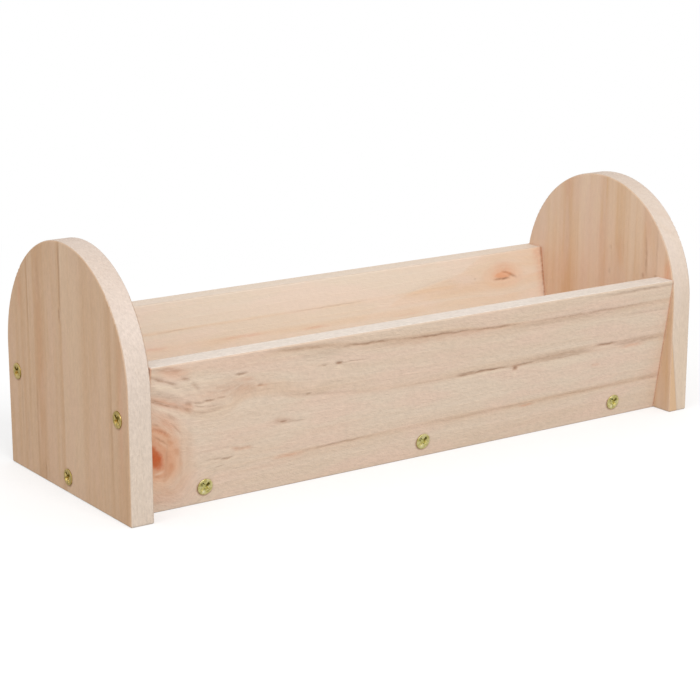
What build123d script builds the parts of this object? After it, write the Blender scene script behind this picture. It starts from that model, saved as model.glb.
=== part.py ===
"""Small wooden hay feeder box.

Two upright end panels with half-round tops hold a trough of two side boards that lean outward and a
floor board between them. Twelve countersunk screws hold the boards together. Sizes are millimetres.
The origin is under the middle of the box, on the surface it stands on: X runs along the trough, the
front faces -Y and Z points up.
"""
from build123d import *
from math import cos, radians, sin, tan
import os

os.makedirs("parts", exist_ok=True)

# --- end panels ---
panel_width = 122.0  # front to back, and the diameter of the half-round top
panel_straight_height = 60.0  # from the ground to where the half-round top springs
panel_thickness = 12.0

# --- side boards ---
side_length = 316.0  # between the end panels
side_height = 72.5  # upright height, from the level-cut foot to the level-cut top
side_thickness = 12.0  # square to the board's face
side_lean = 9.5  # degrees out of upright
side_setback = 0.5  # the top edge stands this far inside the end panels' straight edges

# --- floor board ---
floor_thickness = 12.0
floor_lift = 3.0  # underside above the ground

edge_ease = 0.8  # radius on every sanded edge

# --- screws: 4 x 25 countersunk, cross recess ---
screw_length = 25.0  # from the top of the head to the point
head_diameter = 8.0
head_rim = 0.45  # flat rim that stands proud of the wood
head_ease = 0.25  # rounding of the rim's top edge
sink_angle = 90.0  # degrees, the whole cone
neck_diameter = 2.8
neck_length = 1.2
thread_diameter = 4.0
core_diameter = 2.6
thread_pitch = 1.8
thread_root = 1.0  # width of one thread where it leaves the core
thread_crest = 0.2  # width of its outer edge
point_length = 4.0
cross_span = 5.4
cross_width = 1.5
cross_hub = 2.6
cross_depth = 1.2
cross_taper = 20.0  # degrees

# --- clearances ---
shank_clearance = 0.25  # round the screw in the board it passes through
head_clearance = 0.05  # round the head's cone in its countersink
thread_clearance = 0.03  # round the thread in the board it bites into

# --- screw places ---
end_screw_height = 48.5  # the upper two in each end panel, above the ground
end_screw_offset = 0.6  # they sit this far outside the middle of the side board's thickness
floor_screw_height = 8.0  # the lower one in each end panel
side_screw_rise = 8.4  # up the side board's face from its foot
side_screw_inset = 32.0  # from each end of the side board to its outer two screws
side_screw_shift = 1.2  # the whole row stands this far right of the middle
screw_turns = (42.0, 51.0, 38.0)  # degrees, how far each row's crosses ended up turned

# --- sizes worked out from those above ---
box_length = side_length + 2 * panel_thickness
lean_slope = tan(radians(side_lean))
side_level_thickness = side_thickness / cos(radians(side_lean))
side_top_reach = panel_width / 2 - side_setback  # outer face from the middle, at the top
side_foot_reach = side_top_reach - side_height * lean_slope  # the same, at the foot
head_radius = head_diameter / 2
neck_radius = neck_diameter / 2
neck_top = -(head_radius - neck_radius) / tan(radians(sink_angle / 2))
thread_top = neck_top - neck_length
screw_tip = head_rim - screw_length


def outer_reach(height):
    """How far a side board's outer face stands from the middle of the box, at a height."""
    return side_foot_reach + height * lean_slope


def inner_reach(height):
    """The same for its inner face."""
    return outer_reach(height) - side_level_thickness


# ---------------------------------------------------------------- screw seats
# A seat is the place on the wood where a head lies. Its Z points out of the wood, and its X lies
# along one slot of the head's cross.


def end_seat(end, y, height, turn):
    """Seat on an end panel: end is -1 for the left one and 1 for the right one."""
    face = Plane(origin=(end * box_length / 2, y, height), x_dir=(0, 1, 0), z_dir=(end, 0, 0))
    return face.location * Rotation(0, 0, turn)


def side_seat(side, x, turn):
    """Seat on a side board: side is -1 for the front one and 1 for the back one."""
    height = side_screw_rise * cos(radians(side_lean))
    outward = (0, side * cos(radians(side_lean)), -sin(radians(side_lean)))
    face = Plane(origin=(x, side * outer_reach(height), height), x_dir=(1, 0, 0), z_dir=outward)
    return face.location * Rotation(0, 0, turn)


end_screw_reach = outer_reach(end_screw_height) - side_level_thickness / 2 + end_screw_offset
side_row_reach = side_length / 2 - side_screw_inset
side_row = {
    "left": side_screw_shift - side_row_reach,
    "middle": side_screw_shift,
    "right": side_screw_shift + side_row_reach,
}

seats = {}
for end_name, end in (("left", -1), ("right", 1)):
    places = (
        ("front", -end_screw_reach, end_screw_height),
        ("back", end_screw_reach, end_screw_height),
        ("floor", 0, floor_screw_height),
    )
    for (board_name, y, height), turn in zip(places, screw_turns):
        seats[f"{end_name}_end_screw_{board_name}"] = end_seat(end, y, height, turn)
for side_name, side in (("front", -1), ("back", 1)):
    for (place_name, x), turn in zip(side_row.items(), screw_turns):
        seats[f"{side_name}_screw_{place_name}"] = side_seat(side, x, turn)


def seats_named(*beginnings):
    """The seats whose names start with one of these."""
    return [seat for name, seat in seats.items() if name.startswith(beginnings)]


# ---------------------------------------------------------------- one screw and the hole it cuts


def shank_outline(clearance):
    """Half outline from the neck to the point, starting and ending on the axis, grown by a clearance."""
    core = core_diameter / 2 + clearance
    crest = thread_diameter / 2 + clearance
    root_half = thread_root / 2 + clearance
    crest_half = thread_crest / 2 + clearance
    thread_end = screw_tip + point_length
    turns = int((thread_top - thread_end) / thread_pitch)
    outline = [(0, thread_top), (core, thread_top)]
    for turn in range(turns):
        middle = thread_top - (turn + 0.5) * thread_pitch
        outline += [(core, middle + root_half), (crest, middle + crest_half)]
        outline += [(crest, middle - crest_half), (core, middle - root_half)]
    return outline + [(core, thread_end), (0, screw_tip - clearance)]


with BuildPart() as screw_blank:
    with BuildSketch(Plane.XZ):
        with BuildLine():
            Polyline(
                (0, head_rim),
                (head_radius, head_rim),
                (head_radius, 0),
                (neck_radius, neck_top),
                (neck_radius, thread_top),
                (0, thread_top),
                close=True,
            )
        make_face()
    revolve(axis=Axis.Z)
    fillet(screw_blank.edges().filter_by(GeomType.CIRCLE).sort_by(Axis.Z)[-1], head_ease)
    with BuildSketch(Plane.XZ):
        with BuildLine():
            Polyline(*shank_outline(0), close=True)
        make_face()
    revolve(axis=Axis.Z)
    with BuildSketch(Plane.XY.offset(head_rim)):
        Rectangle(cross_span, cross_width)
        Rectangle(cross_width, cross_span)
        Circle(cross_hub / 2)
    extrude(amount=-cross_depth, taper=cross_taper, mode=Mode.SUBTRACT)

# the bite is what the thread presses out of the wood it is driven into
with BuildPart() as bite:
    with BuildSketch(Plane.XZ):
        with BuildLine():
            Polyline(*shank_outline(thread_clearance), close=True)
        make_face()
    revolve(axis=Axis.Z)


def sink_holes():
    """Countersunk holes right through the board being built, at the active locations."""
    CounterSinkHole(
        radius=thread_diameter / 2 + shank_clearance,
        counter_sink_radius=head_radius + head_clearance,
        counter_sink_angle=sink_angle,
    )


def finish(board, name):
    """Name a finished piece and write its file."""
    board.part.label = name
    export_step(board.part, f"parts/{name}.step")


# ---------------------------------------------------------------- end panels


def make_end_panel(end_name, end):
    front_spring = (-panel_width / 2, panel_straight_height)
    back_spring = (panel_width / 2, panel_straight_height)
    with BuildPart() as panel:
        with BuildSketch(Plane.YZ.offset(end * side_length / 2)):
            with BuildLine():
                Polyline(front_spring, (-panel_width / 2, 0), (panel_width / 2, 0), back_spring)
                ThreePointArc(back_spring, (0, panel_straight_height + panel_width / 2), front_spring)
            make_face()
        extrude(amount=end * panel_thickness)
        outlines = panel.faces().filter_by(Axis.X).edges()
        corners = panel.edges().filter_by(Axis.X).group_by(Axis.Z)[0]
        fillet(outlines + corners, edge_ease)
        with Locations(*seats_named(f"{end_name}_end_screw")):
            sink_holes()
    finish(panel, f"{end_name}_end_panel")


make_end_panel("left", -1)
make_end_panel("right", 1)

# ---------------------------------------------------------------- side boards


def make_side_board(side_name, side):
    with BuildPart() as board:
        with BuildSketch(Plane.YZ.offset(-side_length / 2)):
            with BuildLine():
                Polyline(
                    (side * outer_reach(0), 0),
                    (side * outer_reach(side_height), side_height),
                    (side * inner_reach(side_height), side_height),
                    (side * inner_reach(0), 0),
                    close=True,
                )
            make_face()
        extrude(amount=side_length)
        fillet(board.edges().filter_by(Axis.X), edge_ease)
        with Locations(*seats_named(f"{side_name}_screw")):
            sink_holes()
        with Locations(seats[f"left_end_screw_{side_name}"], seats[f"right_end_screw_{side_name}"]):
            add(bite.part, mode=Mode.SUBTRACT)
    finish(board, f"{side_name}_board")


make_side_board("front", -1)
make_side_board("back", 1)

# ---------------------------------------------------------------- floor board

floor_top = floor_lift + floor_thickness
with BuildPart() as floor_board:
    with BuildSketch(Plane.YZ.offset(-side_length / 2)):
        with BuildLine():
            Polyline(
                (-inner_reach(floor_lift), floor_lift),
                (-inner_reach(floor_top), floor_top),
                (inner_reach(floor_top), floor_top),
                (inner_reach(floor_lift), floor_lift),
                close=True,
            )
        make_face()
    extrude(amount=side_length)
    fillet(floor_board.edges().filter_by(Axis.X), edge_ease)
    side_rows = seats_named("front_screw", "back_screw")
    with Locations(*side_rows, seats["left_end_screw_floor"], seats["right_end_screw_floor"]):
        add(bite.part, mode=Mode.SUBTRACT)
finish(floor_board, "floor_board")

# ---------------------------------------------------------------- screws

for name, seat in seats.items():
    with BuildPart() as screw:
        with Locations(seat):
            add(screw_blank.part)
    finish(screw, name)
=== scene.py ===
"""Looks for a small wooden hay feeder box: bare softwood boards held by yellow zinc screws."""
import math

import bpy
import bmesh
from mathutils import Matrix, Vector

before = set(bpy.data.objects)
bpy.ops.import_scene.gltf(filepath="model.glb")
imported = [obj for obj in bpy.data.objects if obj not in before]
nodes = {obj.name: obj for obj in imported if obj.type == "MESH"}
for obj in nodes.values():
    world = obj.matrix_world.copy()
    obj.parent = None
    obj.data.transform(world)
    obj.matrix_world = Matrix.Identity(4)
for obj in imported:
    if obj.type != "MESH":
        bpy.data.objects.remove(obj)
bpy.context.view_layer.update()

# the box, in millimetres and degrees
side_lean = 9.5
front_face_foot = -48.368  # where the front board's outer face meets the ground
back_face_foot = 36.201  # where the back board's inner face would meet the ground
left_face = -170.0  # outer face of the left end panel
right_face = 158.0  # inner face of the right end panel
floor_face = 15.0  # top of the floor board
board_thickness = 12.0
far_off = 1000.0  # further than any board reaches
per_metre = 1000.0
head_radius = 4.0
side_end = 158.0  # the long boards' sawn ends from the middle
side_row = ((-124.8, 8.4), (1.2, 8.4), (127.2, 8.4))  # screws along and across, on the side boards
end_row = ((48.5, -50.99), (48.5, 50.99), (8.0, 0.0))  # the same on the end panels

# marks that the tools and the screws left on the wood, in millimetres
bruise_width = 1.3  # how far the wood is darkened round a screw's head: pressed wood, with painted shadow on its lower left
bruise_depth = 3.0
end_band_width = 1.2  # how far in from a long board's end the wood is browner
sawn_end = side_end - end_band_width
fuzz_tilt = 0.16  # how steeply the planed fuzz lies across the grain

# how the grain wanders, in millimetres
grain_waver = 2.4
ring_waver = 3.0  # in rings
stray_reach = 1.6  # for single streaks
seed_along = 37.0  # how far one seed moves a board through the noises
seed_depth = 11.0
seed_waver = 53.0  # the same for what makes streaks stray

# how a knot is drawn, measured in its own length and width
knot_lean = 0.15  # how far along a knot moves for each step in
knot_wobble = 0.7
knot_ripple = 0.35
ring_ink = 0.8
halo_tilt = 0.4  # the share of a knot's tilt that its halo follows
halo_wobble = 0.3
halo_end = 1.1
rim_at = 0.95  # the thin dark line round the halo
rim_width = 0.05
rim_ink = 0.5

# how a streak is drawn, measured in its own length and width
streak_core = 0.15  # the part that doesn't fade yet
highlight_below = 2.2  # a painted highlight lies beside a dark one
highlight_width = 1.1
edge_ink = 0.3  # how much of a dark streak is left where it runs over a narrow side

# how a board's grain is bent and coloured, in millimetres
sweep_range = (-10.0, 10.0)  # the least and the most that each curve can say
lift_range = (0.0, 16.0)
arch_range = (20.0, 90.0)
fibre_share = 0.75  # how much of the lift the fine fibres do without
quiet_fade = 4.0
wedge_line = 0.45  # half width of the dark line along the darker wedge
wedge_line_ink = 0.3
painted_shadow_slant = 0.6  # how far the painted shadow side of the dark ring round a head leans to the left

# how the wood's surface looks and feels
band_tone = 0.7  # how much the broad bands and the growth rings deepen the colour
ring_tone = 0.14
edge_nap = 0.7  # how much rougher the fibres stand on a narrow side
wood_roughness = 0.6
fibre_roughness = 0.2
end_roughness = 0.12
knot_polish = 0.18
wood_bump = (0.35, 0.0002)  # strength, and height in metres
wood_shine = 0.25


def paint(shown):
    """Turn a colour as it shows on a screen, 0 to 255, into the numbers that a shader takes."""
    parts = [part / 255 for part in shown]
    return [p / 12.92 if p <= 0.04045 else ((p + 0.055) / 1.055) ** 2.4 for p in parts] + [1.0]


# noises: how long their lumps are along, in and across, then how detailed and how rough
noises = {
    "knot wobble": ((13, 13, 13), 3, 0.6), "knot ripple": ((3, 3, 3), 2, 0.6),
    "knot patches": ((6, 5, 6), 2, 0.5), "stray": ((8, 9, 4), 3, 0.6), "ink": ((5, 6, 1.2), 2, 0.5),
    "waver": ((55, 30, 30), 2, 0.5), "fibre": ((7, 0.36, 0.36), 3, 0.65),
    "hair": ((16, 0.5, 0.42), 2, 0.55), "band": ((150, 9, 4.2), 3, 0.6),
    "blush": ((46, 12, 10), 2, 0.5), "uneven": ((400, 14, 9), 1, 0.5),
    "dots": ((0.5, 0.35, 0.35), 2, 0.7), "fuzz": ((3, 1.4, 1.4), 3, 0.7),
    "zinc cloud": ((1.6, 1.6, 1.6), 3, 0.6), "zinc fine": ((0.2, 0.2, 0.2), 3, 0.6),
}

# smooth steps: from where to where, and what they begin and end with if that isn't 0 and 1
steps = {
    "face": (0.35, 0.9), "end": (0.45, 0.95), "knot heart": (0.45, 1.15, 1, 0),
    "knot tail": (0.9, 2.2, 0.2, 0), "halo tail": (0.95, 1.35, 0.3, 0), "knot ring": (0.1, 0.5),
    "knot patches": (0.38, 0.62), "ink": (0.3, 0.6, 0.5, 1), "hair": (0.56, 0.74),
    "ring drop": (0.93, 1, 1, 0), "dots": (0.42, 0.62), "deepness": (-0.1, 1.1),
    "blush": (0.42, 0.66, 0, 0.6), "thin fibre": (0.28, 0.72, 0.97, 1.025),
    "thin fuzz": (0.25, 0.75, 0.95, 1.04), "arch edge": (-0.6, 1.6),
    "bruise": (head_radius, head_radius + bruise_width, 1, 0), "bruise depth": (0, bruise_depth, 1, 0),
    "bruise side": (-3.5, 3, 1, 0.15), "stain edge": (-0.6, 0.4, 1, 0), "stain line top": (44, 36),
    "far face": (4, 8), "high edge": (20, 100), "cross": (2.6, 3, 1, 0), "sunk": (0.1, 0.42, 1, 0),
    "cross floor": (-0.72, -0.4, 1, 0), "cross floor top": (1.6, 2.4, 1, 0), "zinc cloud": (0.38, 0.62),
    "upper_shade": (-0.9, 0.7), "lit side": (-0.8, 0.8), "zinc roughness": (0.2, 0.8, 0.24, 0.42),
    "stage glow": (0.2, 0.55, 0.5, 1),
}

# marks on the wood: how much of it each covers at its strongest, and the colours all boards share
# Among these marks, the highlight is painted light, the arris painted shade, and the ring round a screw has
# painted shadow on its lower left.
covers = {
    "edge": 0.75, "hair": 0.08, "halo": 0.8, "warm": 0.8, "core": 0.9, "rings": 0.45, "shine": 0.4,
    "dark": 0.85, "bruise": 0.75, "arris_shade": 0.8, "burn": 0.6, "stain": 0.8, "dots": 0.22,
}
mark_colours = {
    "hair": (176, 138, 104), "warm": (205, 128, 88), "shine": (236, 217, 192),
    "dark": (136, 94, 66), "bruise": (146, 108, 78), "arris_shade": (196, 172, 150),
    "burn": (182, 118, 82), "dots": (178, 140, 108),
}
# how far each stands up from the wood, or lies down in it, measured in fibres
relief = {"fuzz": 3.4, "ring": 0.6, "hair": -0.7, "dark": -4.0, "dots": -1.2, "rings": -0.5}


# ======== node trees


class Tree:
    """A node tree that is written line by line. Each call adds a node and gives back its output.

    A surface can hold only so many values at once, and past that it turns black. So a node is made just
    before it is needed, and what goes into noise or a curve is made before the node itself.
    """

    def __init__(self, tree):
        self.tree = tree
        self.count = 0

    def add(self, kind):
        node = self.tree.nodes.new(kind)
        node.location = (self.count % 12 * 180, self.count // 12 * -260)
        self.count += 1
        return node

    def put(self, socket, value):
        """Link an output to a socket, or set the socket. A colour of three parts is as it shows."""
        if isinstance(value, bpy.types.NodeSocket):
            self.tree.links.new(value, socket)
        elif socket.type == "RGBA" and len(value) == 3:
            socket.default_value = paint(value)
        else:
            socket.default_value = value

    def math(self, operation, *values):
        node = self.add("ShaderNodeMath")
        node.operation = operation
        for socket, value in zip(node.inputs, values):
            self.put(socket, value)
        return node.outputs[0]

    def plus(self, first, *rest):
        for value in rest:
            first = self.math("ADD", first, value)
        return first

    def less(self, first, second):
        return self.math("SUBTRACT", first, second)

    def times(self, first, *rest):
        for value in rest:
            first = self.math("MULTIPLY", first, value)
        return first

    def spread(self, value, width):
        """The square of a value measured in widths."""
        return self.math("POWER", self.math("DIVIDE", value, width), 2.0)

    def apart(self, first, first_width, second, second_width):
        """The square of a distance in two directions, each measured in its own widths."""
        return self.plus(self.spread(first, first_width), self.spread(second, second_width))

    def bell(self, squared):
        """1 where the squared distance is nothing, falling away to 0."""
        return self.math("EXPONENT", self.math("MULTIPLY", squared, -1.0))

    def plain(self, value, low, high, to_low=0.0, to_high=1.0, smooth=False):
        """Bring a value from one range to another, in a straight line or a smooth step."""
        node = self.add("ShaderNodeMapRange")
        if smooth:
            node.interpolation_type = "SMOOTHSTEP"
            node.clamp = False  # a smooth step stays between its ends anyway, and this is lighter
        for socket, given in zip(node.inputs, (value, low, high, to_low, to_high)):
            self.put(socket, given)
        return node.outputs[0]

    def smooth(self, value, *ends):
        return self.plain(value, *ends, smooth=True)

    def step(self, value, kind):
        """One of the smooth steps listed above."""
        return self.smooth(value, *steps[kind])

    def join(self, x, y, z):
        node = self.add("ShaderNodeCombineXYZ")
        for socket, value in zip(node.inputs, (x, y, z)):
            self.put(socket, value)
        return node.outputs[0]

    def split(self, vector):
        node = self.add("ShaderNodeSeparateXYZ")
        self.put(node.inputs[0], vector)
        return node.outputs

    def vector(self, operation, first, second):
        node = self.add("ShaderNodeVectorMath")
        node.operation = operation
        self.put(node.inputs[0], first)
        self.put(node.inputs[1], second)
        return node.outputs["Value"] if operation == "DOT_PRODUCT" else node.outputs["Vector"]

    def noise(self, vector, kind):
        """One of the noises listed above."""
        lumps, detail, roughness = noises[kind]
        stretched = self.vector("DIVIDE", vector, lumps)
        node = self.add("ShaderNodeTexNoise")
        self.put(node.inputs["Vector"], stretched)
        node.inputs["Scale"].default_value = 1.0
        node.inputs["Detail"].default_value = detail
        node.inputs["Roughness"].default_value = roughness
        return node.outputs[0]

    def blend(self, share, first, second, kind="MIX"):
        node = self.add("ShaderNodeMix")
        node.data_type = "RGBA"
        node.blend_type = kind
        self.put(node.inputs["Factor"], share)
        self.put(node.inputs[6], first)
        self.put(node.inputs[7], second)
        return node.outputs[2]

    def curve(self, value, low, high, points, to_low=0.0, to_high=1.0):
        """A line drawn through points: (where, how much)."""
        value = self.plain(value, low, high)
        node = self.add("ShaderNodeFloatCurve")
        self.put(node.inputs["Value"], value)
        line = node.mapping.curves[0]
        placed = [((x - low) / (high - low), (y - to_low) / (to_high - to_low)) for x, y in points]
        line.points[0].location = placed[0]
        line.points[1].location = placed[-1]
        for place in placed[1:-1]:
            line.points.new(*place)
        node.mapping.update()
        return self.plain(node.outputs[0], 0.0, 1.0, to_low, to_high)

    def group(self, group, **values):
        """Place a node group. Its inputs are given by name, with _ for each space."""
        node = self.add("ShaderNodeGroup")
        node.node_tree = group
        for name, value in values.items():
            self.put(node.inputs[name.replace("_", " ").capitalize()], value)
        return node.outputs


def numbers(*names):
    """Number inputs that start at 0."""
    return dict.fromkeys(names, 0.0)


def colours(*names):
    """Colour inputs that start black."""
    return dict.fromkeys(names, (0.0, 0.0, 0.0, 1.0))


def new_group(name, inputs, outputs):
    """A node group. Inputs have start values, and outputs are numbers unless they are called Color."""
    group = bpy.data.node_groups.new(name, "ShaderNodeTree")
    for label, value in inputs.items():
        kind = "NodeSocketFloat"
        if isinstance(value, tuple):
            kind = "NodeSocketColor" if len(value) == 4 else "NodeSocketVector"
        socket = group.interface.new_socket(label, in_out="INPUT", socket_type=kind)
        socket.default_value = value
    for label in outputs:
        kind = "NodeSocketColor" if label == "Color" else "NodeSocketFloat"
        group.interface.new_socket(label, in_out="OUTPUT", socket_type=kind)
    tree = Tree(group)
    start = tree.add("NodeGroupInput")
    end = tree.add("NodeGroupOutput")
    return tree, start.outputs, end.inputs


# ======== what wood shows
# Inside a board, "along" runs with the grain, "depth" goes in from the face that shows most, and
# "height" goes across the board, bent round the knots. All three are millimetres.


def make_sides_group():
    """Which way a spot of a board looks: out of its broad face, or out of its sawn end."""
    tree, given, out = new_group(
        "Board sides",
        {"Normal": (0.0, 0.0, 1.0), "Face direction": (0.0, 1.0, 0.0), "Grain direction": (1.0, 0.0, 0.0)},
        ("Face", "End"),
    )
    face = tree.vector("DOT_PRODUCT", given["Normal"], given["Face direction"])
    end = tree.vector("DOT_PRODUCT", given["Normal"], given["Grain direction"])
    tree.put(out["Face"], tree.step(tree.math("ABSOLUTE", face), "face"))
    tree.put(out["End"], tree.step(tree.math("ABSOLUTE", end), "end"))
    return tree.tree


def make_knot_group():
    """A branch cut across: how it pushes the grain aside, its core, its rings and its halo."""
    tree, given, out = new_group(
        "Knot",
        {
            **numbers("Along", "Depth", "Height", "At", "Level"), "Lean": knot_lean,
            **numbers("Tilt", "Length", "Width", "Reach along", "Reach across"),
            **numbers("Halo along", "Halo across", "Halo start", "Ring spacing"),
        },
        ("Push", "Core", "Halo", "Rings"),
    )
    place = tree.join(given["Along"], given["Depth"], given["Height"])
    wobble = tree.less(tree.noise(place, "knot wobble"), 0.5)
    ripple = tree.less(tree.noise(place, "knot ripple"), 0.5)
    above = tree.less(given["Height"], given["Level"])
    centre = tree.plus(given["At"], tree.times(given["Depth"], given["Lean"]))
    aside = tree.less(tree.less(given["Along"], centre), tree.times(above, given["Tilt"]))
    beside = tree.less(tree.less(given["Along"], centre), tree.times(above, given["Tilt"], halo_tilt))
    far = tree.apart(aside, given["Reach along"], above, given["Reach across"])
    tree.put(out["Push"], tree.times(above, tree.bell(far)))
    near = tree.math("SQRT", tree.apart(aside, given["Length"], above, given["Width"]))
    round_way = tree.plus(near, tree.times(wobble, knot_wobble), tree.times(ripple, knot_ripple))
    heart = tree.step(round_way, "knot heart")
    tail = tree.step(round_way, "knot tail")
    tree.put(out["Core"], tree.math("MAXIMUM", heart, tail))
    glow = tree.math("SQRT", tree.apart(beside, given["Halo along"], above, given["Halo across"]))
    glow = tree.plus(glow, tree.times(wobble, halo_wobble))
    rest = tree.step(glow, "halo tail")
    full = tree.smooth(glow, given["Halo start"], halo_end, 1.0, 0.0)
    tree.put(out["Halo"], tree.math("MAXIMUM", full, rest))
    turn = tree.math("DIVIDE", tree.times(round_way, given["Length"]), given["Ring spacing"])
    ring = tree.step(tree.math("PINGPONG", turn, 0.5), "knot ring")
    patchy = tree.step(tree.noise(place, "knot patches"), "knot patches")
    rim = tree.bell(tree.spread(tree.less(glow, rim_at), rim_width))
    marks = tree.math("MAXIMUM", tree.times(ring, ring_ink), tree.times(rim, rim_ink))
    tree.put(out["Rings"], tree.times(marks, patchy))
    return tree.tree


def make_waver_group():
    """How far a dark line strays from its level, and how unevenly it is inked."""
    tree, given, out = new_group(
        "Waver",
        numbers("Along", "Depth", "Height", "Seed"),
        ("Stray", "Ink"),
    )
    along = tree.plus(given["Along"], tree.times(given["Seed"], seed_waver))
    place = tree.join(along, given["Depth"], given["Height"])
    stray = tree.less(tree.noise(place, "stray"), 0.5)
    tree.put(out["Stray"], tree.times(stray, stray_reach))
    tree.put(out["Ink"], tree.step(tree.noise(place, "ink"), "ink"))
    return tree.tree


def make_streak_group():
    """One dark or resinous line that lies in the grain and fades at both ends, and the painted highlight
    beside it.
    """
    tree, given, out = new_group(
        "Streak",
        numbers(
            "Along", "Height", "At", "Level", "Slope", "Bend", "Half length", "Half width", "Strength",
        ),
        ("Mask", "Shine"),
    )
    off = tree.less(given["Along"], given["At"])
    reach = tree.math("DIVIDE", tree.math("ABSOLUTE", off), given["Half length"])
    steepness = tree.plus(given["Slope"], tree.times(off, given["Bend"]))
    path = tree.plus(given["Level"], tree.times(off, steepness))
    above = tree.math("DIVIDE", tree.less(given["Height"], path), given["Half width"])
    fade = tree.smooth(reach, streak_core, 1.0, given["Strength"], 0.0)
    tree.put(out["Mask"], tree.times(tree.bell(tree.spread(above, 1.0)), fade))
    shine = tree.spread(tree.plus(above, highlight_below), highlight_width)
    tree.put(out["Shine"], tree.times(tree.bell(shine), fade))
    return tree.tree


def make_grain_group():
    """The grain that every board has: fibres, hair lines, broad bands, blotches and cut-end dots."""
    tree, given, out = new_group(
        "Grain",
        numbers("Along", "Depth", "Height", "Seed", "Ring spacing"),
        ("Fibre", "Hair", "Band", "Blush", "Ring", "Dots", "Fuzz"),
    )
    along = tree.plus(given["Along"], tree.times(given["Seed"], seed_along))
    depth = tree.plus(given["Depth"], tree.times(given["Seed"], seed_depth))
    place = tree.join(along, depth, given["Height"])
    waver = tree.less(tree.noise(place, "waver"), 0.5)
    height = tree.plus(given["Height"], tree.times(waver, grain_waver))
    bent = tree.join(along, depth, height)
    tree.put(out["Fibre"], tree.noise(bent, "fibre"))
    tree.put(out["Hair"], tree.step(tree.noise(bent, "hair"), "hair"))
    tree.put(out["Band"], tree.noise(bent, "band"))
    tree.put(out["Blush"], tree.noise(bent, "blush"))
    uneven = tree.times(tree.less(tree.noise(bent, "uneven"), 0.5), ring_waver)
    turn = tree.plus(tree.math("DIVIDE", height, given["Ring spacing"]), uneven)
    part = tree.math("FRACT", turn)
    rise = tree.math("POWER", part, 3.0)
    drop = tree.step(part, "ring drop")
    tree.put(out["Ring"], tree.times(rise, drop))
    tree.put(out["Dots"], tree.step(tree.noise(place, "dots"), "dots"))
    tilted = tree.join(along, depth, tree.plus(height, tree.times(along, fuzz_tilt)))
    tree.put(out["Fuzz"], tree.noise(tilted, "fuzz"))
    return tree.tree


def make_wood_group():
    """Puts a board's colours together, and says how rough and how raised each spot is."""
    tree, given, out = new_group(
        "Bare wood",
        {
            **colours("Pale", "Deep", "Blush colour", "Edge colour"),
            **colours("Knot colour", "Knot ring colour", "Halo colour"),
            **numbers("Nap", "Tone", "Fibre", "Hair", "Band", "Blush", "Ring", "Dots", "Fuzz"),
            **numbers("Burn", "Stain", "Dark streak", "Warm streak", "Shine"),
            **numbers("Knot core", "Knot halo", "Knot rings", "Bruise", "Face", "End"),
        },
        ("Color", "Roughness", "Height"),
    )
    over = {
        **mark_colours,
        "edge": given["Edge colour"], "halo": given["Halo colour"], "core": given["Knot colour"],
        "rings": given["Knot ring colour"], "stain": given["Deep"],
    }

    def lay(mark, mask, under):
        """A mark's colour over the colour so far."""
        return tree.blend(tree.times(mask, covers[mark]), under, over[mark])

    grain = tree.plus(
        given["Tone"],
        tree.times(tree.less(given["Band"], 0.5), band_tone),
        tree.times(given["Ring"], ring_tone),
    )
    colour = tree.blend(tree.step(grain, "deepness"), given["Pale"], given["Deep"])
    blush = tree.step(given["Blush"], "blush")
    colour = tree.blend(blush, colour, given["Blush colour"])
    edge = tree.less(1.0, given["Face"])
    colour = lay("edge", edge, colour)
    nap = tree.plus(given["Nap"], tree.times(edge, edge_nap))
    thin = tree.step(given["Fibre"], "thin fibre")
    thin = tree.times(thin, tree.step(given["Fuzz"], "thin fuzz"))
    thin = tree.plus(1.0, tree.times(tree.less(thin, 1.0), nap))
    colour = tree.blend(1.0, colour, tree.join(thin, thin, thin), "MULTIPLY")
    colour = lay("hair", tree.times(given["Hair"], nap), colour)
    colour = lay("halo", given["Knot halo"], colour)
    colour = lay("warm", given["Warm streak"], colour)
    ring = tree.times(given["Knot rings"], given["Knot halo"])
    colour = lay("core", given["Knot core"], colour)
    colour = lay("rings", ring, colour)
    # Painted highlights: the pale line beside each dark streak, and the light streaks.
    colour = lay("shine", given["Shine"], colour)
    colour = lay("dark", given["Dark streak"], colour)
    colour = lay("bruise", given["Bruise"], colour)
    arris_shade = tree.times(given["Face"], edge, 4.0)  # 1 halfway round an eased edge, where painted shade tones down the edge's highlight
    colour = lay("arris_shade", arris_shade, colour)
    colour = lay("burn", given["Burn"], colour)
    colour = lay("stain", given["Stain"], colour)
    colour = lay("dots", tree.times(given["End"], given["Dots"]), colour)
    tree.put(out["Color"], colour)
    rough = tree.plus(wood_roughness, tree.times(tree.less(given["Fibre"], 0.5), fibre_roughness))
    rough = tree.plus(rough, tree.times(given["End"], end_roughness))
    rough = tree.less(rough, tree.times(given["Knot core"], knot_polish))
    tree.put(out["Roughness"], rough)
    raised = tree.plus(
        given["Fibre"],
        tree.times(given["Fuzz"], nap, relief["fuzz"]),
        tree.times(given["Ring"], relief["ring"]),
        tree.times(given["Hair"], relief["hair"]),
        tree.times(given["Dark streak"], relief["dark"]),
        tree.times(tree.times(given["End"], given["Dots"]), relief["dots"]),
        tree.times(ring, relief["rings"]),
    )
    tree.put(out["Height"], raised)
    return tree.tree


sides_group = make_sides_group()
knot_group = make_knot_group()
waver_group = make_waver_group()
streak_group = make_streak_group()
grain_group = make_grain_group()
wood_group = make_wood_group()
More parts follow.
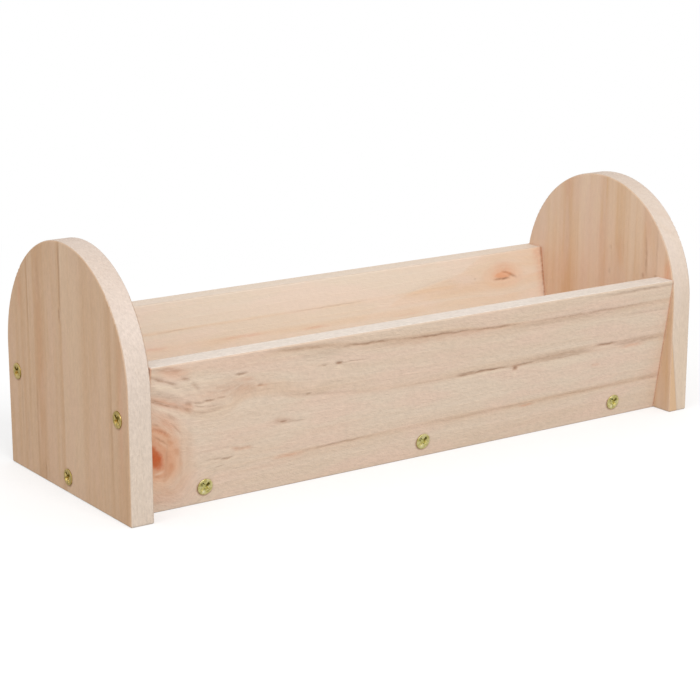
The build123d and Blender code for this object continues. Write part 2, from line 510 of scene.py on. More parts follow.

# ======== the boards
# Lengths are millimetres, and a level is a place across a board.
#   turn, shift: bring a place in the box to the board's own: x along the grain, y in from the face
#     that shows most, z across
#   face, grain: which way that face looks and the grain runs
#   burn: how far along a browner band at the board's ends begins, or far_off where there is none
#   seed: which part of the noises the board is cut from
#   screws, screw_depth: where the heads lie, and how far in from the face
#   nap: how strong the fine fibres are
#   ring_spacing, slant: of the growth rings, and how far they drop for each step in
#   pale, deep, blush, edge: the wood, its blotches and its narrow sides
#   far_pale, high_edge: the same on the other broad face, and on the edge at the top of an end panel
#   tones: (level, 0 for pale to 1 for deep)
#   sweep: (along, how far the grain rises), growing between the levels in sweep_from
#   lift: the same, but only between the levels in lift_from and lift_until
#   climb: (from where along, how steeply) the low grain rises, up to the levels in climb_until
#   arch: (along, level) of the edge of some deeper wood
#   arch_tone, arch_end: how deep it is, rising between two levels, and where and how far that fades
#   quiet: (along, along, level, tone) of a plain patch that fades out between the first two
#   stain: how high and how wide a darker wedge on one narrow side is
#   knots: (along, level, half length, half width, how far it bends the grain along and across, its
#     halo's half length and half width, where the halo begins to fade, ring spacing, tilt)
#   knot_colours: of the core, the rings and the halo
#   light, dark, warm: streaks, (along, level, half length, half width, strength, slope, bend); the light
#       ones are painted highlights

lean = math.radians(side_lean)
lengthways = (1.0, 0.0, 0.0)
upright = (0.0, 0.0, 1.0)
leaning_front = (0.0, -math.cos(lean), -math.sin(lean))
leaning_back = (0.0, math.cos(lean), -math.sin(lean))

long_board = {"grain": lengthways, "burn": sawn_end, "screws": side_row, "screw_depth": 0.0}
end_panel = {
    "turn": (math.radians(90), 0.0, math.radians(90)), "face": (1.0, 0.0, 0.0), "grain": upright,
    "burn": far_off, "screws": end_row, "screw_depth": 0.0, "knots": (),
}

boards = {}
boards["front_board"] = {
    **long_board,
    "turn": (-lean, 0.0, 0.0),
    "shift": (0.0, -front_face_foot * math.cos(lean), front_face_foot * math.sin(lean)),
    "face": leaning_front,
    "seed": 1.0, "nap": 1.25, "ring_spacing": 4.6, "slant": 0.45,
    "pale": (216, 197, 177), "deep": (206, 176, 150), "blush": (219, 191, 172),
    "edge": (222, 213, 204),
    "tones": (
        (-2, 0.32), (6, 0.24), (14, 0.22), (17.6, 0.58), (19.4, 0.28), (24, 0.12), (33, 0.04), (38.5, 0.12),
        (40.5, 0.36), (42.5, 0.45), (44.5, 0.36), (49, 0.18), (57, 0.18), (61.5, 0.4), (64, 0.6),
        (65.5, 0.3), (70, 0.3), (80, 0.25), (92, 0.4),
    ),
    "sweep": (
        (-158, 5), (-76, 6.8), (-51, 4.9), (-40, 3.4), (-18, 2.9), (19, 1.9), (31, 0.7), (58, 0),
        (103, -0.9), (158, -0.8),
    ),
    "sweep_from": (46, 62),
    "lift": (
        (-158, 12), (-146, 8.5), (-134, 4.8), (-122, 3.2), (-112, 5.5), (-102, 9), (-92, 8.6), (-75, 4.6),
        (-50, 2.6), (-20, 0.6), (10, 0), (158, 0),
    ),
    "lift_from": (34, 43), "lift_until": (52, 66),
    "climb": (20, 0.013), "climb_until": (20, 30),
    "quiet": (-95, -62, 27, 0.2),
    "knots": ((-154.2, 29, 5.6, 8, 13.5, 27, 18.8, 21.5, 0.55, 5.4, -0.55),),
    "knot_colours": ((184, 80, 22), (184, 116, 72), (213, 161, 125)),
    "light": (
        (-150.5, 19.8, 4.5, 0.8, 0.9, 0.2), (-149, 15.2, 11, 3.4, 0.75, 0.1),
        (-152, 63.6, 7, 1.9, 0.9, -0.4), (-148.5, 50.8, 12, 0.8, 1, -0.46), (-146, 60.8, 9, 1.2, 0.7, -0.5),
        (-128.5, 51, 8, 0.6, 1, 0.02, 0.02), (-121, 46, 10, 0.6, 0.7, 0.08, 0.006),
        (-130, 48.6, 6, 0.5, 0.6, -0.2, 0.02), (-128, 62.5, 12, 1.6, 0.4, -0.15),
        (-111, 20.6, 4, 0.7, 0.8, 0.15), (-119, 18.5, 5, 0.5, 0.4), (-84, 33.3, 8, 0.6, 0.5, -0.04),
        (-142, 64, 5, 0.7, 0.5, -0.5),
    ),
    "dark": (
        (-76, 70.6, 26, 1, 0.45, -0.06), (-38, 67.6, 24, 0.75, 0.7, -0.035),
        (2, 65.7, 36, 0.65, 0.78, -0.024), (-6, 64.6, 60, 1.5, 0.22, -0.028),
        (38, 64.2, 24, 0.6, 0.6, -0.03), (105, 63.2, 60, 0.9, 0.45, -0.003), (90, 61.6, 64, 1.6, 0.25),
        (140, 58, 26, 0.8, 0.2), (134, 71.3, 40, 0.8, 0.5), (24, 41.2, 9.5, 0.8, 1, 0.01),
        (38, 41.2, 20, 0.6, 0.9, -0.01), (55.4, 39.6, 2.4, 1.3, 0.85), (60, 40.8, 12, 0.7, 0.7, 0.02),
        (84, 41.9, 34, 1.7, 0.42, 0.014), (86, 40.7, 34, 0.5, 0.45, 0.014),
        (116, 43.4, 11, 0.7, 0.85, 0.008), (138, 42.4, 26, 1.6, 0.42), (0, 41, 30, 0.5, 0.15),
        (-50, 17.2, 26, 0.6, 0.45, 0.01), (40, 17.9, 60, 0.8, 0.22, 0.012),
        (112, 18.8, 50, 0.8, 0.3, 0.004), (150, 19, 12, 1, 0.4), (-109.8, 63.1, 5, 0.55, 0.9, 0.05),
        (-55, 60, 3.2, 0.8, 0.9), (-48, 59.6, 14, 0.35, 0.4, -0.02), (-64, 60.1, 3.6, 0.5, 0.5),
        (-84, 34.6, 3.6, 0.7, 0.75, -0.02), (-85, 35.2, 9, 1.9, 0.28, -0.03),
        (-77, 33.6, 9, 0.5, 0.4, -0.05), (-114.2, 21, 4.4, 0.5, 0.75, 0.02), (-121, 21.6, 6, 0.35, 0.4),
        (-71, 46.6, 2.6, 0.6, 0.55), (-98.6, 55.9, 2.2, 0.7, 0.45), (-118, 17.5, 3, 0.4, 0.35),
        (-120, 26.5, 14, 0.6, 0.2), (-153.5, 67.2, 6.5, 0.9, 0.7, -0.42),
        (-148, 64.6, 6.5, 0.9, 0.55, -0.5), (-150, 71.2, 14, 1.2, 0.4, -0.14, -0.004),
        (-139.5, 65.2, 3.2, 1, 0.5, -0.3), (-133.8, 61, 3.2, 1.4, 0.4, -0.7),
        (-149, 58.2, 13, 1.9, 0.34, -0.42), (-153, 55.9, 7, 1, 0.62, -0.4),
        (-146.5, 53.1, 8, 0.9, 0.66, -0.4), (-139, 50.6, 6, 1.1, 0.55, -0.5),
        (-136.8, 52.6, 2.8, 1.2, 0.5, -0.3), (-153.5, 44.8, 3, 0.6, 0.3, -0.4),
        (-150, 36.4, 6, 0.6, 0.4, -0.75), (-146.6, 26, 1, 9, 0.22), (-142.6, 41, 4, 0.6, 0.3, -1.1),
        (-131.5, 51.9, 5, 0.5, 0.45, -0.12, 0.05), (-126.2, 52.4, 4.5, 0.5, 0.75, -0.03),
        (-130.8, 50, 4.5, 0.45, 0.4, -0.2, 0.04), (-124, 49.3, 5, 0.45, 0.3, 0.02),
        (-119, 52.9, 4, 0.45, 0.35), (-126, 47, 12, 1.3, 0.28, 0.04, 0.012),
        (-151, 41.6, 7, 0.9, 0.3, -0.5, -0.03), (-63, 45.4, 34, 0.9, 0.2, -0.12),
        (-138.8, 25, 1.6, 9, 0.16, -4), (-64, 66.6, 22, 3, 0.2, -0.03), (-113, 56.6, 17, 3.6, 0.18),
        (-106, 24.8, 7, 0.8, 0.25, -0.12), (-135, 32, 2.2, 14, 0.1), (-145.2, 47.6, 4, 1.2, 0.3, -0.6),
        (-150, 5, 10, 0.6, 0.2),
    ),
    "warm": (
        (-85, 35.4, 7, 2, 0.2, -0.03), (-106.5, 24.9, 9, 1.2, 0.42, -0.12),
        (-151, 41.4, 8, 1.6, 0.7, -0.5, -0.02), (-146.5, 44.5, 8, 3.4, 0.42, -0.7), (-143, 33, 5, 8, 0.16),
        (-111, 56.5, 16, 3.4, 0.26), (-98, 55.4, 6, 0.8, 0.35, -0.1), (66, 17.1, 7, 0.6, 0.45),
        (110.5, 32.6, 4, 0.7, 0.35), (135, 40, 12, 1, 0.4), (-79, 15.9, 12, 1.2, 0.4),
        (-149, 54.8, 13, 2, 0.55, -0.42), (-146, 69.2, 12, 3, 0.4, -0.25), (-138.5, 51, 6, 2.2, 0.55, -0.2),
        (-116, 56, 34, 5, 0.22, 0.02), (55.4, 40, 4, 1.6, 0.3), (-108, 60, 10, 1.6, 0.3, -0.1),
        (-110, 33, 34, 12, 0.08), (-142, 9, 16, 6, 0.16), (-60, 26, 40, 3, 0.08),
        (10, 63.9, 60, 1.6, 0.22, -0.01), (-100, 67.5, 40, 3, 0.1),
    ),
}
boards["back_board"] = {
    **long_board,
    "turn": (lean, 0.0, 0.0),
    "shift": (0.0, -back_face_foot * math.cos(lean), -back_face_foot * math.sin(lean)),
    "face": leaning_back,
    "screw_depth": board_thickness,
    "seed": 2.0, "nap": 0.45, "ring_spacing": 6.4, "slant": -0.35,
    # Pale, on the inner face, is greyer than far_pale outside: painted cooler to cancel the warm light that
    # bounces onto it inside the box.
    "pale": (222, 209, 193), "deep": (220, 194, 167), "blush": (226, 207, 192),
    "far_pale": (222, 203, 180), "edge": (215, 197, 180),
    "tones": (
        (-2, 0.3), (12, 0.5), (20, 0.2), (31, 0.45), (40, 0.3), (47, 0.42), (50, 0.54), (52.5, 0.26),
        (57.5, 0.3), (58.6, 0.55), (60, 0.15), (68, 0.1), (75, 0.2), (92, 0.3),
    ),
    "knots": ((128.5, 60.8, 7.4, 2.1, 15, 8, 12.5, 6, 0.1, 30, 0),),
    "knot_colours": ((218, 164, 130), (206, 150, 116), (224, 188, 160)),
    "arch": (
        (-158, 30), (30, 44), (54, 56.5), (60, 58.3), (72, 61), (88, 63.5), (98, 65.5), (104, 68.5),
        (110, 71.5), (120, 76), (158, 86),
    ),
    "arch_tone": (50, 56, -0.02, 0.46), "arch_end": ((134, 142), (66, 62), 0.2),
    "dark": (
        (10, 58.5, 36, 0.35, 0.26), (-85, 58.4, 14, 0.35, 0.2), (127.5, 58.7, 7.5, 0.6, 0.85),
        (126, 58.6, 4, 0.5, 0.8), (135, 59.9, 4.2, 0.8, 0.7, -0.42),
        (131, 61.9, 4.6, 0.5, 0.4, -0.3, -0.02), (108.5, 61, 1.6, 0.9, 0.25),
        # (157.6, 60, ...) is painted shade: a dark line where this board meets the right end panel.
        (76, 61.9, 26, 0.7, 0.1, 0.17), (157.6, 60, 1.6, 30, 0.7), (98, 60, 24, 5, 0.07),
    ),
    "light": ((130, 57.3, 10, 0.6, 0.6),),
    "warm": (
        (-45, 50.2, 20, 0.7, 0.3), (0, 48.6, 12, 0.7, 0.35), (-98, 50.8, 12, 0.8, 0.3),
        (60, 47.4, 18, 0.8, 0.15), (127.5, 65.2, 10, 3, 0.26), (127, 60.6, 6.5, 1.2, 0.2),
        # (157, 70, ...) and (156, 70.5, ...) are painted shade too: reddish, where this board meets the
        # right end panel.
        (130.5, 62.2, 5.5, 0.7, 0.5, -0.3, -0.02), (157, 70, 6, 30, 0.42), (156, 70.5, 7, 6, 0.4),
    ),
}
boards["floor_board"] = {
    **long_board,
    "turn": (math.radians(90), 0.0, 0.0),
    "shift": (0.0, floor_face, 0.0),
    "face": (0.0, 0.0, 1.0),
    "screws": (),
    "seed": 3.0, "nap": 1.0, "ring_spacing": 5.2, "slant": 0.3,
    "pale": (226, 206, 182), "deep": (208, 172, 138), "blush": (224, 192, 166),
    "edge": (230, 213, 194),
    "tones": (
        (-50, 0.3), (-30, 0.5), (-24, 0.2), (-12, 0.6), (-9, 0.25), (4, 0.2), (11, 0.7), (14, 0.3),
        (26, 0.45), (36, 0.3), (50, 0.5),
    ),
    "knots": ((42, 14, 5, 4, 15, 12, 11, 9, 0.5, 3),),
    "knot_colours": ((186, 116, 74), (150, 88, 54), (224, 174, 138)),
    "dark": ((-60, -9, 22, 0.5, 0.5), (-20, 13, 30, 0.5, 0.45), (95, -21, 9, 0.6, 0.6)),
    "warm": ((-100, 10, 20, 1, 0.4),),
}
boards["left_end_panel"] = {
    **end_panel,
    "shift": (0.0, -left_face, 0.0),
    "seed": 4.0, "nap": 1.0, "ring_spacing": 5.6, "slant": 0.5,
    # These colours are darker than the other boards': partly the wood's own tone, partly painted shade for
    # this end, which stands in shade.
    "pale": (208, 178, 149), "deep": (194, 156, 121), "blush": (206, 173, 146),
    "edge": (213, 201, 188), "high_edge": (214, 203, 195),
    "tones": (
        (-64, 0.6), (-53, 0.65), (-48, 0.4), (-45, 0.65), (-42, 0.4), (-34, 0.45), (-23, 0.45),
        (-20.5, 0.55), (-17, 0.2), (-8, 0.1), (0.5, 0.12), (2.6, 0.75), (6, 0.45), (16, 0.5), (20, 0.7),
        (25, 0.85), (29.5, 0.9), (31.5, 0.45), (36, 0.5), (37.5, 0.75), (39.5, 0.45), (44, 0.6), (47, 0.45),
        (50, 0.62), (53, 0.5), (57, 0.62), (64, 0.5),
    ),
    "dark": (
        (112, 2.4, 12, 0.7, 0.55), (100, 2.6, 26, 0.5, 0.5), (86, 3.6, 5, 0.6, 0.75),
        (90, 37, 26, 0.5, 0.4), (98, 25, 14, 1.6, 0.2), (28, 30, 30, 0.8, 0.25), (5, 23, 7, 0.6, 0.45),
        (45, -45, 50, 0.8, 0.2), (30, 46.5, 26, 0.7, 0.25), (20, 40.5, 22, 1.6, 0.14),
    ),
    "warm": ((60, 25, 60, 4, 0.14), (50, -54, 50, 2, 0.2), (90, 46, 14, 2, 0.3)),
}
boards["right_end_panel"] = {
    **end_panel,
    "shift": (0.0, -right_face, 0.0),
    "screw_depth": board_thickness,
    "seed": 5.0, "nap": 0.45, "ring_spacing": 6.2, "slant": 0.4,
    # These colours are paler than the left panel's: partly the wood's own tone, partly painted light for
    # the inner face, which stands in shade.
    "pale": (223, 199, 176), "deep": (207, 169, 129), "blush": (217, 188, 167),
    "edge": (212, 196, 178), "high_edge": (210, 198, 188),
    "tones": (
        (-64, 0.6), (-57, 0.7), (-48, 0.5), (-46, 0.75), (-43, 0.4), (-38.5, 0.85), (-35, 0.35), (-28, 0.3),
        (-20, 0.5), (-16, 0.6), (-12, 0.35), (-7, 0.45), (-3.5, 0.7), (0, 0.3), (10, 0.2), (18, 0.4),
        (22, 0.6), (26, 0.75), (31, 0.5), (36, 0.3), (46, 0.3), (53, 0.5), (64, 0.55),
    ),
    "stain": (42, 5.4),
    "dark": (
        (82, -38.6, 16, 0.8, 0.4, 0.06), (69, -9.4, 2.6, 0.9, 0.25), (82.5, -10.2, 2, 0.8, 0.2),
        (80, 25.4, 44, 2.2, 0.08), (90, -16.5, 30, 0.8, 0.08), (86, -47, 16, 0.7, 0.2),
        (71, -36.6, 2, 1.2, 0.4), (71.5, -46.4, 1.6, 1.2, 0.35),
    ),
    "warm": (
        (80, -18, 14, 3, 0.2), (56, 26, 30, 6, 0.2), (55, 24, 36, 40, 0.16), (86, -2, 16, 3, 0.16),
        (112, 26, 14, 3, 0.2), (94, -40, 14, 3, 0.16), (74, -55.5, 12, 2.4, 0.6), (68, -5, 24, 8, 0.14),
    ),
}

knot_inputs = (
    "at", "level", "length", "width", "reach_along", "reach_across", "halo_along", "halo_across",
    "halo_start", "ring_spacing", "tilt",
)
streak_inputs = ("at", "level", "half_length", "half_width", "strength", "slope", "bend")


def new_material(name):
    material = bpy.data.materials.new(name)
    material.use_nodes = True
    tree = Tree(material.node_tree)
    material.node_tree.nodes.clear()
    surface = tree.add("ShaderNodeOutputMaterial")
    return material, tree, surface


def new_shader(tree, surface, looks, bump_strength, bump_height):
    """The shader that shows a group's colour, roughness and height on a surface."""
    bump = tree.add("ShaderNodeBump")
    bump.inputs["Strength"].default_value = bump_strength
    bump.inputs["Distance"].default_value = bump_height
    tree.put(bump.inputs["Height"], looks["Height"])
    shader = tree.add("ShaderNodeBsdfPrincipled")
    tree.put(shader.inputs["Base Color"], looks["Color"])
    tree.put(shader.inputs["Roughness"], looks["Roughness"])
    tree.put(shader.inputs["Normal"], bump.outputs[0])
    tree.put(surface.inputs["Surface"], shader.outputs[0])
    return shader


def dress(node, material):
    node.data.materials.clear()
    node.data.materials.append(material)


def board_place(tree, board):
    """Where a spot lies in a board: along the grain, in from its face and across, in millimetres."""
    where = tree.add("ShaderNodeTexCoord")
    own = tree.add("ShaderNodeMapping")
    steps_of_place = (where.outputs["Object"], board["shift"], board["turn"], (per_metre,) * 3)
    for socket, value in zip(own.inputs, steps_of_place):
        tree.put(socket, value)
    return where.outputs["Normal"], tree.split(own.outputs[0])


def near_screws(tree, board, along, across):
    """The way to a spot from the middle of the nearest head: how far, how far up and how far right."""
    nearest = far_off
    up = 0.0
    right = 0.0
    for at, level in board["screws"]:  # a spot is near one head at most
        aside = tree.less(along, at)
        above = tree.less(across, level)
        away = tree.math("SQRT", tree.apart(aside, 1.0, above, 1.0))
        near = tree.math("LESS_THAN", away, 2.0 * head_radius)
        if board["grain"] == upright:
            aside, above = tree.times(above, -1.0), aside
        up = tree.plus(up, tree.times(above, near))
        right = tree.plus(right, tree.times(aside, near))
        nearest = tree.math("MINIMUM", nearest, away)
    return nearest, up, right


def board_material(name, board):
    material, tree, surface = new_material(name.replace("_", " ") + " wood")
    normal, (along, depth, across) = board_place(tree, board)
    height = tree.plus(across, tree.times(depth, board["slant"]))
    if "sweep" in board:
        drift = tree.curve(along, -side_end, side_end, board["sweep"], *sweep_range)
        height = tree.less(height, tree.times(drift, tree.smooth(across, *board["sweep_from"])))
    fibre_slack = 0.0
    if "lift" in board:
        lift = tree.curve(along, -side_end, side_end, board["lift"], *lift_range)
        begun = tree.smooth(across, *board["lift_from"])
        part = tree.times(begun, tree.smooth(across, *board["lift_until"], 1.0, 0.0))
        lift = tree.times(lift, part)
        height = tree.less(height, lift)
        fibre_slack = tree.times(lift, fibre_share)
        start, steepness = board["climb"]
        climb = tree.times(tree.plus(along, -start), steepness)
        height = tree.less(height, tree.times(climb, tree.smooth(across, *board["climb_until"], 1.0, 0.0)))
    for knot_values in board["knots"]:
        named = dict(zip(knot_inputs, knot_values))
        knot = tree.group(knot_group, along=along, depth=depth, height=across, **named)
        height = tree.less(height, knot["Push"])
    low, high = board["tones"][0][0], board["tones"][-1][0]
    tone = tree.curve(height, low, high, board["tones"])
    if "arch" in board:
        top = tree.curve(along, -side_end, side_end, board["arch"], *arch_range)
        inside = tree.step(tree.less(top, across), "arch edge")
        tone = tree.plus(tone, tree.times(inside, tree.smooth(across, *board["arch_tone"])))
        end_along, end_across, lost = board["arch_end"]
        far_end = tree.times(tree.smooth(along, *end_along), tree.smooth(across, *end_across))
        tone = tree.less(tone, tree.times(far_end, lost))
    if "quiet" in board:
        start, end, level, calm = board["quiet"]
        share = tree.times(
            tree.smooth(along, start, end, 1.0, 0.0),
            tree.smooth(across, level - quiet_fade, level, 1.0, 0.0),
        )
        tone = tree.plus(tree.times(tone, tree.less(1.0, share)), tree.times(share, calm))
    sides = tree.group(
        sides_group, normal=normal, face_direction=board["face"], grain_direction=board["grain"],
    )
    waver = tree.group(waver_group, along=along, depth=depth, height=height, seed=board["seed"])
    strayed_along = tree.plus(along, waver["Stray"])
    strayed_height = tree.plus(across, tree.times(depth, board["slant"]), waver["Stray"])

    def streaks(marks):
        """The strongest of these streaks at each spot, and the painted highlight beside it."""
        total = 0.0
        shine = 0.0
        for values in marks:
            named = dict(zip(streak_inputs, values))
            mark = tree.group(streak_group, along=strayed_along, height=strayed_height, **named)
            total = tree.math("MAXIMUM", total, mark["Mask"])
            shine = tree.math("MAXIMUM", shine, mark["Shine"])
        return tree.times(total, waver["Ink"]), tree.times(shine, waver["Ink"])

    dark_streak, shine = streaks(board["dark"])
    dark_streak = tree.times(dark_streak, tree.plus(edge_ink, tree.times(sides["Face"], 1.0 - edge_ink)))
    warm_streak = tree.times(streaks(board["warm"])[0], sides["Face"])
    if "light" in board:
        shine = tree.math("MAXIMUM", shine, streaks(board["light"])[0])

    fibre_height = tree.plus(height, fibre_slack)
    grain = tree.group(
        grain_group, along=along, depth=depth, height=fibre_height, seed=board["seed"],
        ring_spacing=board["ring_spacing"],
    )
    away, up, right = near_screws(tree, board, along, across)
    # The dark ring round each head is pressed wood, with painted shadow on its lower left side.
    painted_shadow_side = tree.step(tree.plus(up, tree.times(right, painted_shadow_slant)), "bruise side")
    below = tree.math("ABSOLUTE", tree.less(depth, board["screw_depth"]))
    bruise = tree.times(tree.step(away, "bruise"), tree.step(below, "bruise depth"), painted_shadow_side)
    stain = 0.0
    if "stain" in board:
        top, wide = board["stain"]
        reach = tree.times(tree.less(1.0, tree.math("DIVIDE", along, top)), wide)
        beyond = tree.less(depth, reach)
        where = tree.times(tree.less(1.0, sides["Face"]), tree.math("LESS_THAN", across, 0.0))
        stain = tree.times(tree.step(beyond, "stain edge"), where)
        line = tree.bell(tree.spread(beyond, wedge_line))
        line = tree.times(line, tree.step(along, "stain line top"), where)
        dark_streak = tree.math("MAXIMUM", dark_streak, tree.times(line, wedge_line_ink))
    burn = tree.smooth(tree.math("ABSOLUTE", along), board["burn"], board["burn"] + end_band_width)
    knot_parts = {}
    if board["knots"]:
        core_colour, ring_colour, halo_colour = board["knot_colours"]
        knot_parts = {
            "knot_core": knot["Core"], "knot_halo": knot["Halo"], "knot_rings": knot["Rings"],
            "knot_colour": core_colour, "knot_ring_colour": ring_colour, "halo_colour": halo_colour,
        }
    pale = board["pale"]
    if "far_pale" in board:
        pale = tree.blend(tree.step(depth, "far face"), pale, board["far_pale"])
    edge = board["edge"]
    if "high_edge" in board:
        edge = tree.blend(tree.step(along, "high edge"), edge, board["high_edge"])
    wood = tree.group(
        wood_group, pale=pale, deep=board["deep"], blush_colour=board["blush"], edge_colour=edge,
        nap=board["nap"], tone=tone, dark_streak=dark_streak, warm_streak=warm_streak, shine=shine,
        bruise=bruise, burn=burn, stain=stain, face=sides["Face"], end=sides["End"], **knot_parts,
        **{part.name.lower(): part for part in grain},
    )
    shader = new_shader(tree, surface, wood, *wood_bump)
    shader.inputs["Specular IOR Level"].default_value = wood_shine
    return material


for board_name, board in boards.items():
    dress(nodes[board_name], board_material(board_name, board))

# ======== the screws

zinc_bump = (0.15, 0.0001)  # strength, and height in metres
sunk_roughness = 0.12  # how much rougher the cross is than the face
right_arm_share = 0.35  # how dark the painted shade on the right arm is beside the left one's

# spots on a head: how far up its middle is and half its height, then the same to the right; the arm spots
# are painted shade, the glint a painted highlight
head_spots = {
    "left arm": (1.5, 0.8, -1.9, 0.7),
    "right arm": (1.8, 0.8, 1.7, 0.6),
    "glint": (-2.2, 0.9, -1.0, 0.6),
}


def make_zinc_group():
    """Yellow zinc: cloudy on the head's face, with painted shade and painted light in the cross and a
    painted highlight on the head.
    """
    tree, given, out = new_group(
        "Yellow zinc",
        {
            **numbers("Along", "Depth", "Height", "Away", "Up", "Right", "Proud"),
            **colours("Bright", "Dull", "Cross", "Cross lit", "Cross floor", "Rubbed", "Glint"),
            **numbers("Smudge"),
        },
        ("Color", "Roughness", "Height"),
    )

    def spot(name):
        """The square of the distance from a spot's middle."""
        up, tall, right, wide = head_spots[name]
        above = tree.spread(tree.less(given["Up"], up), tall)
        return tree.plus(above, tree.spread(tree.less(given["Right"], right), wide))

    place = tree.join(given["Along"], given["Depth"], given["Height"])
    cloud = tree.noise(place, "zinc cloud")
    fine = tree.noise(place, "zinc fine")
    inside = tree.step(given["Away"], "cross")
    sunk = tree.times(tree.step(given["Proud"], "sunk"), inside)
    floor = tree.times(tree.step(given["Proud"], "cross floor"), inside)
    colour = tree.blend(tree.step(cloud, "zinc cloud"), given["Bright"], given["Dull"])
    # Painted shade and painted light in the cross: its walls are painted dark on the upper arms, darker on
    # the left than on the right, and light lower down, and its floor is painted light, as if lit from above
    # on the right.
    upper_shade = tree.step(given["Up"], "upper_shade")
    deep = tree.blend(tree.step(given["Right"], "lit side"), given["Cross"], given["Cross lit"])
    colour = tree.blend(sunk, colour, tree.blend(upper_shade, given["Rubbed"], deep))
    low = tree.step(tree.plus(given["Up"], tree.math("ABSOLUTE", given["Right"])), "cross floor top")
    colour = tree.blend(tree.times(floor, low), colour, given["Cross floor"])
    # Painted shade at the ends of the upper two arms of the cross, stronger on the left.
    left_arm = spot("left arm")
    right_arm = spot("right arm")
    smudge = tree.plus(tree.bell(left_arm), tree.times(tree.bell(right_arm), right_arm_share))
    colour = tree.blend(tree.times(smudge, given["Smudge"]), colour, given["Cross"])
    # A painted highlight on the lower left of the head.
    colour = tree.blend(tree.bell(spot("glint")), colour, given["Glint"])
    tree.put(out["Color"], colour)
    rough = tree.plus(tree.step(fine, "zinc roughness"), tree.times(sunk, sunk_roughness))
    tree.put(out["Roughness"], rough)
    tree.put(out["Height"], cloud)
    return tree.tree


def screw_material(name, board, sign, finish):
    """The finish of one board's screws. Sign is 1 where their heads lie on the face that shows most."""
    material, tree, surface = new_material(name.replace("_", " ") + " screw zinc")
    along, depth, across = board_place(tree, board)[1]
    proud = tree.times(tree.less(board["screw_depth"], depth), sign)
    away, up, right = near_screws(tree, board, along, across)
    zinc = tree.group(
        zinc_group, along=along, depth=depth, height=across, away=away, up=up, right=right, proud=proud,
        **finish,
    )
    shader = new_shader(tree, surface, zinc, *zinc_bump)
    shader.inputs["Metallic"].default_value = 1.0
    return material


zinc_group = make_zinc_group()
# The zinc of the side boards' heads; the end panels' heads get a darker copy in painted shade.
lit_zinc = {
    "bright": (222, 213, 156), "dull": (194, 184, 112), "cross": (58, 48, 16),
    "cross_lit": (150, 138, 72), "cross_floor": (206, 200, 134), "rubbed": (228, 220, 172),
    "glint": (250, 242, 206), "smudge": 0.65,
}
# A darker, browner copy of the zinc: painted shade for the heads on the end panels.
shaded_zinc = {
    "bright": (192, 168, 102), "dull": (158, 137, 68), "cross": (100, 84, 32),
    "cross_lit": (136, 118, 54), "cross_floor": (152, 136, 64), "rubbed": (206, 180, 110),
    "glint": (206, 180, 110), "smudge": 0.15,
}
screw_rows = {
    "front_screw": ("front_board", 1.0, lit_zinc),
    "back_screw": ("back_board", -1.0, lit_zinc),
    "left_end_screw": ("left_end_panel", 1.0, shaded_zinc),
    "right_end_screw": ("right_end_panel", -1.0, shaded_zinc),
}
for row_name, (board_name, sign, finish) in screw_rows.items():
    zinc = screw_material(row_name, boards[board_name], sign, finish)
    for node_name, node in nodes.items():
        if node_name.startswith(row_name):
            dress(node, zinc)

# ======== stage, light and camera
# Lengths are metres and angles degrees. Azimuth 0 is the front, and 90 the right.

white = (1.0, 1.0, 1.0, 1.0)
floor_seen = (0.97, 0.97, 0.97, 1.0)  # as the camera sees it
floor_lit = (0.48, 0.48, 0.48, 1.0)  # as it throws light back onto the box
floor_radius = 6.0
floor_corners = 96
world_strength = 0.8
box_middle = Vector((0.0, 0.0, 0.05))
lamp_distance = 2.2
lamp_width = 1.2
lamps = {"key": (-8, 36, 24.0), "fill": (-75, 25, 8.0)}  # azimuth, elevation, watts
camera_aim = Vector((-0.00854, 0.0, 0.04613))
camera_azimuth = -34.67
camera_elevation = 14.49
camera_distance = 1.0320
camera_lens = 103.9  # millimetres
camera_nearest = 0.05


def directly_seen(tree):
    """1 for rays that show a thing, and 0 for those that only bring its light."""
    rays = tree.add("ShaderNodeLightPath")
    seen = tree.math("MAXIMUM", rays.outputs["Is Camera Ray"], rays.outputs["Is Glossy Ray"])
    return rays, tree.math("MAXIMUM", seen, rays.outputs["Is Transmission Ray"])


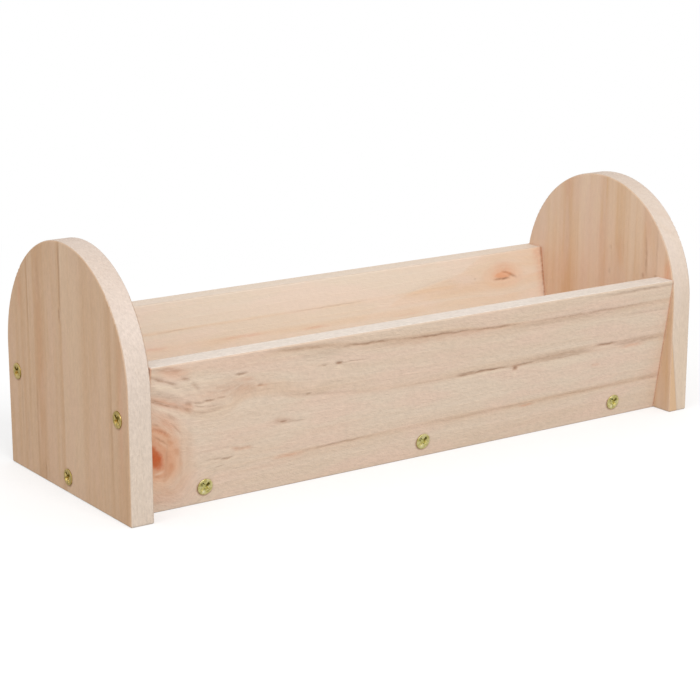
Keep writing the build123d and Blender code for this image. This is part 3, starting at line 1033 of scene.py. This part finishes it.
def make_floor():
    mesh = bpy.data.meshes.new("stage_floor")
    shape = bmesh.new()
    bmesh.ops.create_circle(shape, cap_ends=True, segments=floor_corners, radius=floor_radius)
    shape.to_mesh(mesh)
    shape.free()
    floor = bpy.data.objects.new("stage_floor", mesh)
    bpy.context.scene.collection.objects.link(floor)
    material, tree, surface = new_material("stage white")
    shader = tree.add("ShaderNodeBsdfDiffuse")
    glow = tree.add("ShaderNodeEmission")
    both = tree.add("ShaderNodeMixShader")
    rays, seen = directly_seen(tree)
    where = tree.add("ShaderNodeTexCoord")
    away = tree.add("ShaderNodeVectorMath")
    away.operation = "LENGTH"
    tree.put(away.inputs[0], where.outputs["Object"])
    glowing = tree.step(away.outputs["Value"], "stage glow")
    tree.put(both.inputs[0], tree.times(seen, glowing))
    grey = tree.blend(rays.outputs["Is Camera Ray"], floor_lit, floor_seen)
    tree.put(shader.inputs["Color"], grey)
    tree.put(both.inputs[1], shader.outputs[0])
    tree.put(both.inputs[2], glow.outputs[0])
    tree.put(surface.inputs["Surface"], both.outputs[0])
    mesh.materials.append(material)


def make_world():
    world = bpy.data.worlds.new("studio")
    bpy.context.scene.world = world
    world.use_nodes = True
    tree = Tree(world.node_tree)
    world.node_tree.nodes.clear()
    surface = tree.add("ShaderNodeOutputWorld")
    seen = directly_seen(tree)[1]
    light = tree.add("ShaderNodeBackground")
    light.inputs["Strength"].default_value = world_strength
    light.inputs["Color"].default_value = white
    backdrop = tree.add("ShaderNodeBackground")
    backdrop.inputs["Color"].default_value = white
    both = tree.add("ShaderNodeMixShader")
    tree.put(both.inputs[0], seen)
    tree.put(both.inputs[1], light.outputs[0])
    tree.put(both.inputs[2], backdrop.outputs[0])
    tree.put(surface.inputs["Surface"], both.outputs[0])


def hang(name, data, azimuth, elevation, distance, aim):
    """Put a lamp or a camera at this angle and distance from what it aims at."""
    turn = math.radians(azimuth)
    rise = math.radians(elevation)
    away = Vector((math.sin(turn) * math.cos(rise), -math.cos(turn) * math.cos(rise), math.sin(rise)))
    holder = bpy.data.objects.new(name, data)
    bpy.context.scene.collection.objects.link(holder)
    holder.location = aim + away * distance
    holder.rotation_euler = (aim - holder.location).to_track_quat("-Z", "Y").to_euler()
    return holder


make_floor()
make_world()
for lamp_name, (azimuth, elevation, power) in lamps.items():
    lamp = bpy.data.lights.new(lamp_name, "AREA")
    lamp.shape = "DISK"
    lamp.size = lamp_width
    lamp.energy = power
    hang(lamp_name, lamp, azimuth, elevation, lamp_distance, box_middle)

lens = bpy.data.cameras.new("camera")
lens.lens = camera_lens
lens.clip_start = camera_nearest
camera = hang("camera", lens, camera_azimuth, camera_elevation, camera_distance, camera_aim)
bpy.context.scene.camera = camera
bpy.context.scene.view_settings.view_transform = "Standard"
